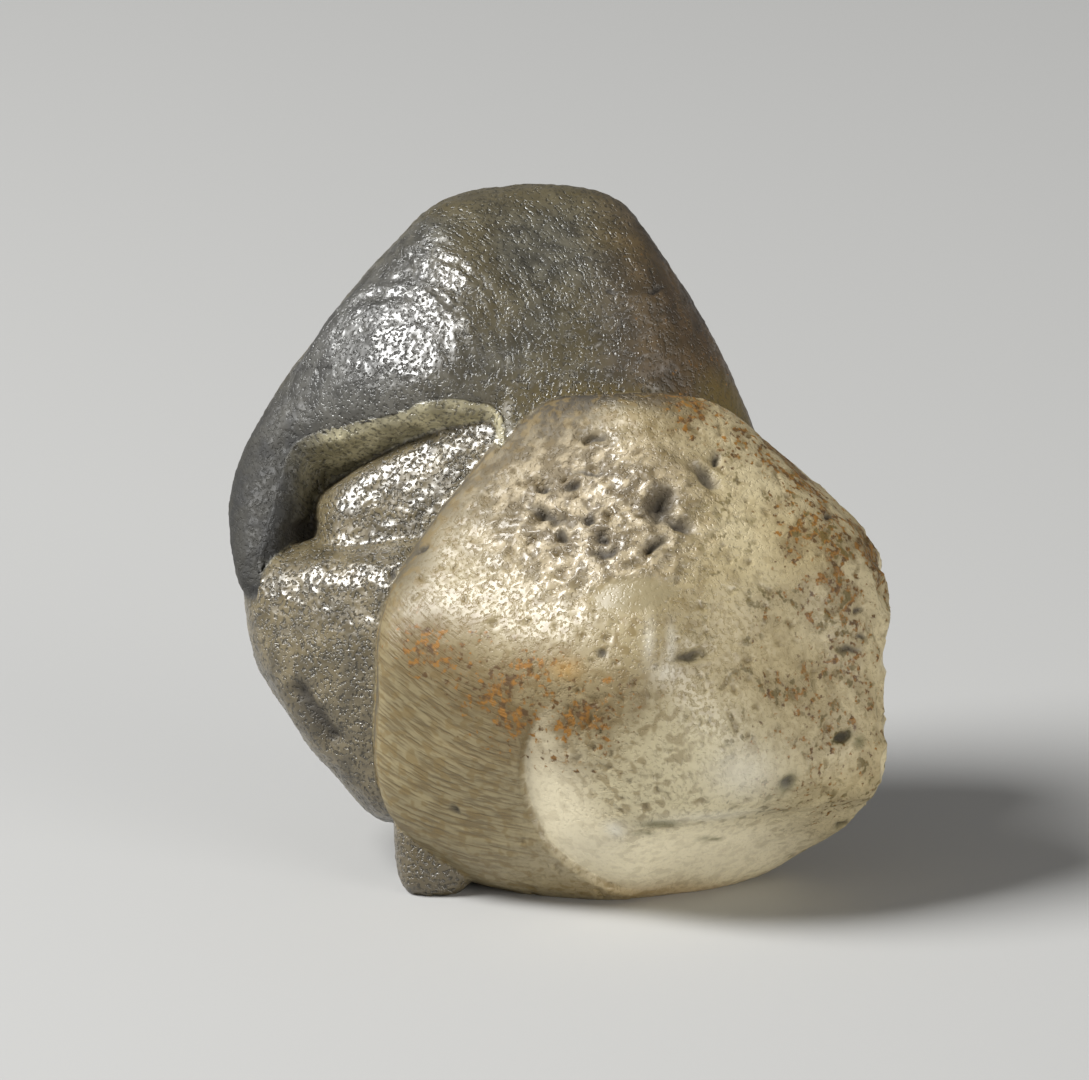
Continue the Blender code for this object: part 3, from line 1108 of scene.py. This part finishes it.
def stone_material():
    material = bpy.data.materials.new("phenakite")
    tree = Tree(material)
    shader = tree.nodes["Principled BSDF"]
    output = tree.nodes["Material Output"]
    straw, smooth = tree.mask("straw"), tree.mask("smooth")
    grain = fine_grain(tree)
    normal = bumps(tree, grain)

    shaded_left_flank = tree.times(tree.mask("shaded_left_flank"), LEFT_FLANK_MATT)
    matt = tree.most(tree.mask("flank"), shaded_left_flank)
    matt = tree.most(matt, tree.times(tree.mask("rust"), RUST_MATT))
    matt = tree.most(matt, tree.mask("dark"))
    clear = tree.mix_value(straw, SMOKY_CLEAR, STRAW_CLEAR)
    satin = tree.mix_value(straw, SMOKY_ROUGHNESS, STRAW_ROUGHNESS)
    satin = tree.line(matt, MATT_ROUGHNESS, satin)
    coat = tree.mix_value(matt, COAT, MATT_COAT)
    coat = tree.math("MULTIPLY", tree.mask("rough"), coat, clamp=True)

    tree.put(shader.inputs["Base Color"], stained(tree, body_colour(tree, grain)))
    tree.put(shader.inputs["Roughness"], tree.line(smooth, SMOOTH_ROUGHNESS, satin))
    tree.put(shader.inputs["Transmission Weight"], tree.line(smooth, SMOOTH_CLEAR, clear))
    tree.put(shader.inputs["Coat Weight"], coat)
    tree.put(shader.inputs["Coat Roughness"], COAT_ROUGHNESS)
    tree.put(shader.inputs["Coat IOR"], IOR)
    tree.put(shader.inputs["IOR"], IOR)
    tree.put(shader.inputs["Normal"], normal)
    tree.put(shader.inputs["Coat Normal"], normal)

    volume = tree.nodes.new("ShaderNodeVolumeAbsorption")
    tree.put(volume.inputs["Color"], ABSORPTION_COLOUR)
    tree.put(volume.inputs["Density"], ABSORPTION_DENSITY)
    tree.put(output.inputs["Volume"], volume.outputs[0])
    return material


def plain_material(name, colour, roughness):
    material = bpy.data.materials.new(name)
    material.use_nodes = True
    shader = material.node_tree.nodes["Principled BSDF"]
    shader.inputs["Base Color"].default_value = colour
    shader.inputs["Roughness"].default_value = roughness
    return material


def floor():
    mesh = bpy.data.meshes.new("studio_floor")
    half = FLOOR_HALF
    corners = [(-half, -half, 0), (half, -half, 0), (half, half, 0), (-half, half, 0)]
    mesh.from_pydata(corners, [], [(0, 1, 2, 3)])
    mesh.materials.append(plain_material("pale floor", srgb(*FLOOR_GREY), FLOOR_ROUGHNESS))
    obj = bpy.data.objects.new("studio_floor", mesh)
    bpy.context.scene.collection.objects.link(obj)
    return obj


def direction(azimuth, elevation):
    """The way to a place seen from the object: azimuth 0 is the viewer's side, 90 the right."""
    turn, rise = math.radians(azimuth), math.radians(elevation)
    flat = math.cos(rise)
    return Vector((math.sin(turn) * flat, -math.cos(turn) * flat, math.sin(rise)))


def soft_light(name, azimuth, elevation, distance, size, power, colour):
    light = bpy.data.lights.new(name, "AREA")
    light.shape = "DISK"
    light.size = size
    light.energy = power
    light.color = colour
    obj = bpy.data.objects.new(name, light)
    bpy.context.scene.collection.objects.link(obj)
    way = direction(azimuth, elevation)
    obj.location = Vector((0, 0, LIT_HEIGHT)) + way * distance
    obj.rotation_euler = way.to_track_quat("Z", "Y").to_euler()


def studio():
    scene = bpy.context.scene
    world = bpy.data.worlds.new("studio")
    world.use_nodes = True
    background = world.node_tree.nodes["Background"]
    background.inputs["Color"].default_value = WORLD_GREY
    background.inputs["Strength"].default_value = WORLD_STRENGTH
    scene.world = world
    scene.view_settings.view_transform = "Standard"
    soft_light(
        "key",
        azimuth=-78,
        elevation=45,
        distance=0.25,
        size=0.13,
        power=1.1,
        colour=(1.0, 1.0, 0.99),
    )
    soft_light(
        "fill",
        azimuth=46,
        elevation=4,
        distance=0.30,
        size=0.20,
        power=0.80,
        colour=(1.0, 0.98, 0.94),
    )


def photo_camera():
    camera = bpy.data.cameras.new("photo camera")
    camera.sensor_width = CAMERA_SENSOR
    camera.lens = CAMERA_LENS
    camera.clip_start = 0.01
    camera.clip_end = 20.0
    obj = bpy.data.objects.new("photo camera", camera)
    bpy.context.scene.collection.objects.link(obj)
    across, upward = at(PHOTO_WIDTH / 2.0, PHOTO_HEIGHT / 2.0)
    across += STAND_SHIFT @ ACROSS
    upward += STAND_SHIFT @ UPWARD
    target = Vector(in_sight((across, upward, 0.0))) * MM
    distance = PHOTO_WIDTH * PIXEL * MM * CAMERA_LENS / CAMERA_SENSOR
    way = direction(0, SIGHT_ELEVATION)
    obj.location = target + way * distance
    obj.rotation_euler = way.to_track_quat("Z", "Y").to_euler()
    bpy.context.scene.camera = obj


photo_camera()
studio()
ground = floor()

stone = make_stone()
stone.data.materials.append(stone_material())
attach(stone, "root")
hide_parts("phenakite_crystal")
